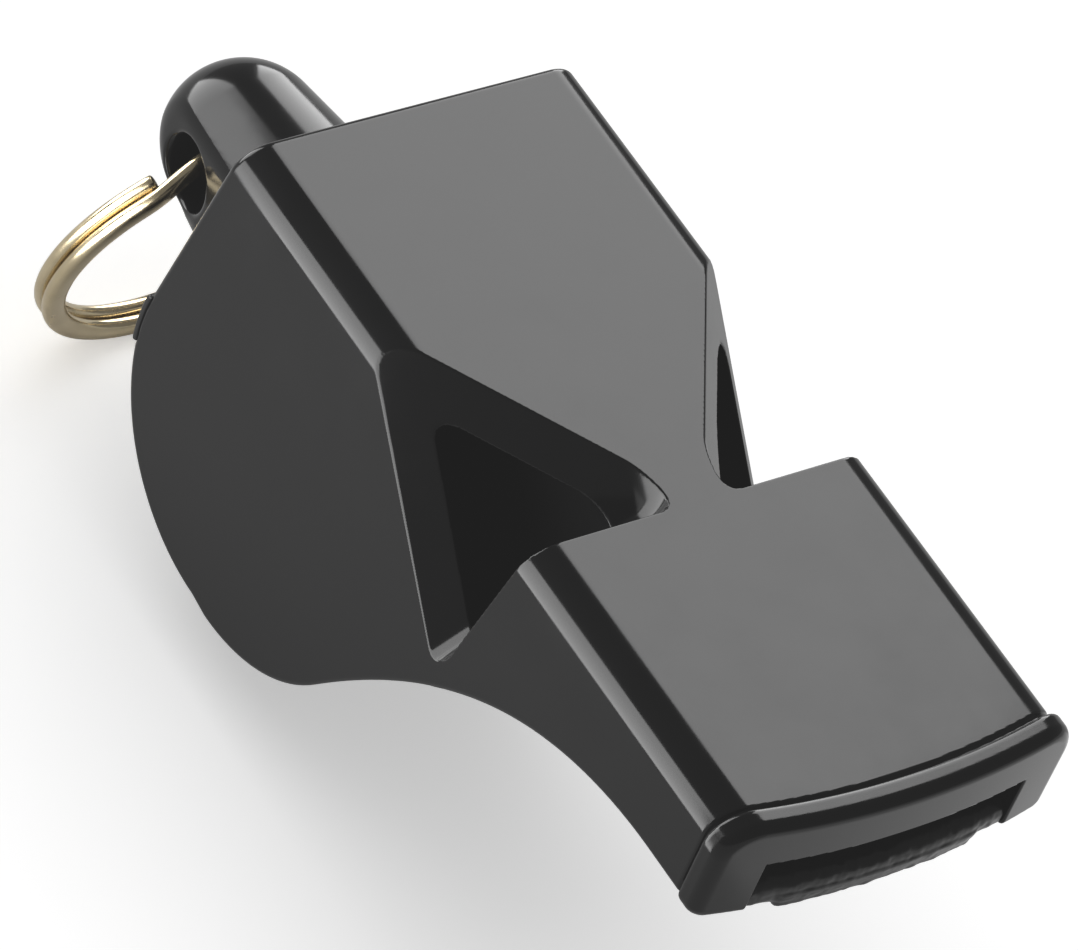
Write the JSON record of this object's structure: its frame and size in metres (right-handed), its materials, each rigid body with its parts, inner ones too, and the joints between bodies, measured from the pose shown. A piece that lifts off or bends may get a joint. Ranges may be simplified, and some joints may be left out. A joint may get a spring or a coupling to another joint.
{
  "type": "training whistle",
  "caption": "Pealess training whistle: a flat-topped moulded body with notched sides and a beaded mouthpiece, and a split ring in its lanyard lug.",
  "frame": {"origin": "on the flat top face, on the middle line, at the centre of its rear pad", "axes": "+X towards the mouthpiece, +Y across the body, +Z out of the flat top face"},
  "size_m": [0.0593, 0.0208, 0.0295],
  "materials": {
    "shell_plastic": "polished black ABS",
    "cover_plastic": "satin black ABS",
    "ring_brass": "brass-plated spring steel"
  },
  "bodies": {
    "whistle": {"body_shell": "shell_plastic", "bottom_cover": "cover_plastic"},
    "ring": {"split_ring": "ring_brass"}
  },
  "joints": [
    {"name": "ring_swing", "type": "hinge", "parent": "whistle", "child": "ring", "pos_m": [-0.0158, 0, -0.0127], "axis": [0, 1, 0], "range_deg": [-50, 190]}
  ]
}
